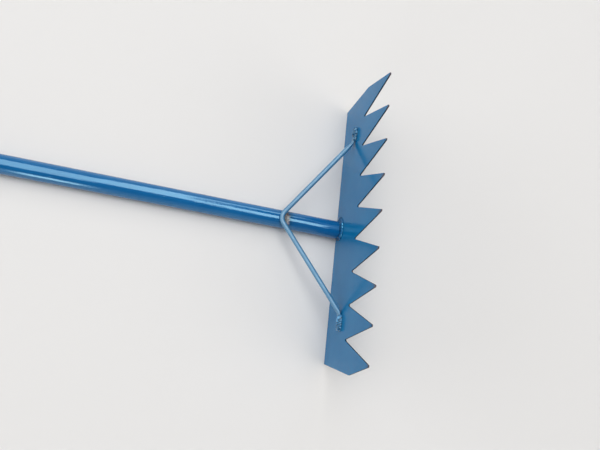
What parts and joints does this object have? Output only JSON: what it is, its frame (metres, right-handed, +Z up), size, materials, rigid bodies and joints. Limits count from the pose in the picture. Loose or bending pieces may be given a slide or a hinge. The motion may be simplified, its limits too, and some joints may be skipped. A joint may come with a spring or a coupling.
{
  "type": "garden rake",
  "caption": "Welded steel garden rake: a tube handle, an upright saw-toothed sheet blade and a bent rod brace over the handle.",
  "frame": {"origin": "middle of the blade's base edge, halfway through the sheet, on the ground that the rake lies on", "axes": "+X out of the blade's outer face, away from the handle; +Y along the blade to the left as seen from the handle; +Z up, the way the teeth point"},
  "size_m": [1.2255, 0.4, 0.1755],
  "materials": {
    "tube_paint": "gloss blue enamel with small scuffs",
    "plug_plastic": "moulded black",
    "blade_paint": "gloss blue enamel",
    "rod_paint": "gloss blue enamel",
    "weld_paint": "gloss blue enamel over a rippled bead",
    "burnt_weld": "burnt and flaked enamel over a weld"
  },
  "bodies": {
    "root": {"handle_tube": "tube_paint", "handle_end_plug": "plug_plastic", "toothed_blade": "blade_paint", "brace_rod": "rod_paint", "handle_weld": "weld_paint", "brace_top_weld": "burnt_weld", "left_foot_weld": "weld_paint", "right_foot_weld": "weld_paint"}
  },
  "joints": []
}
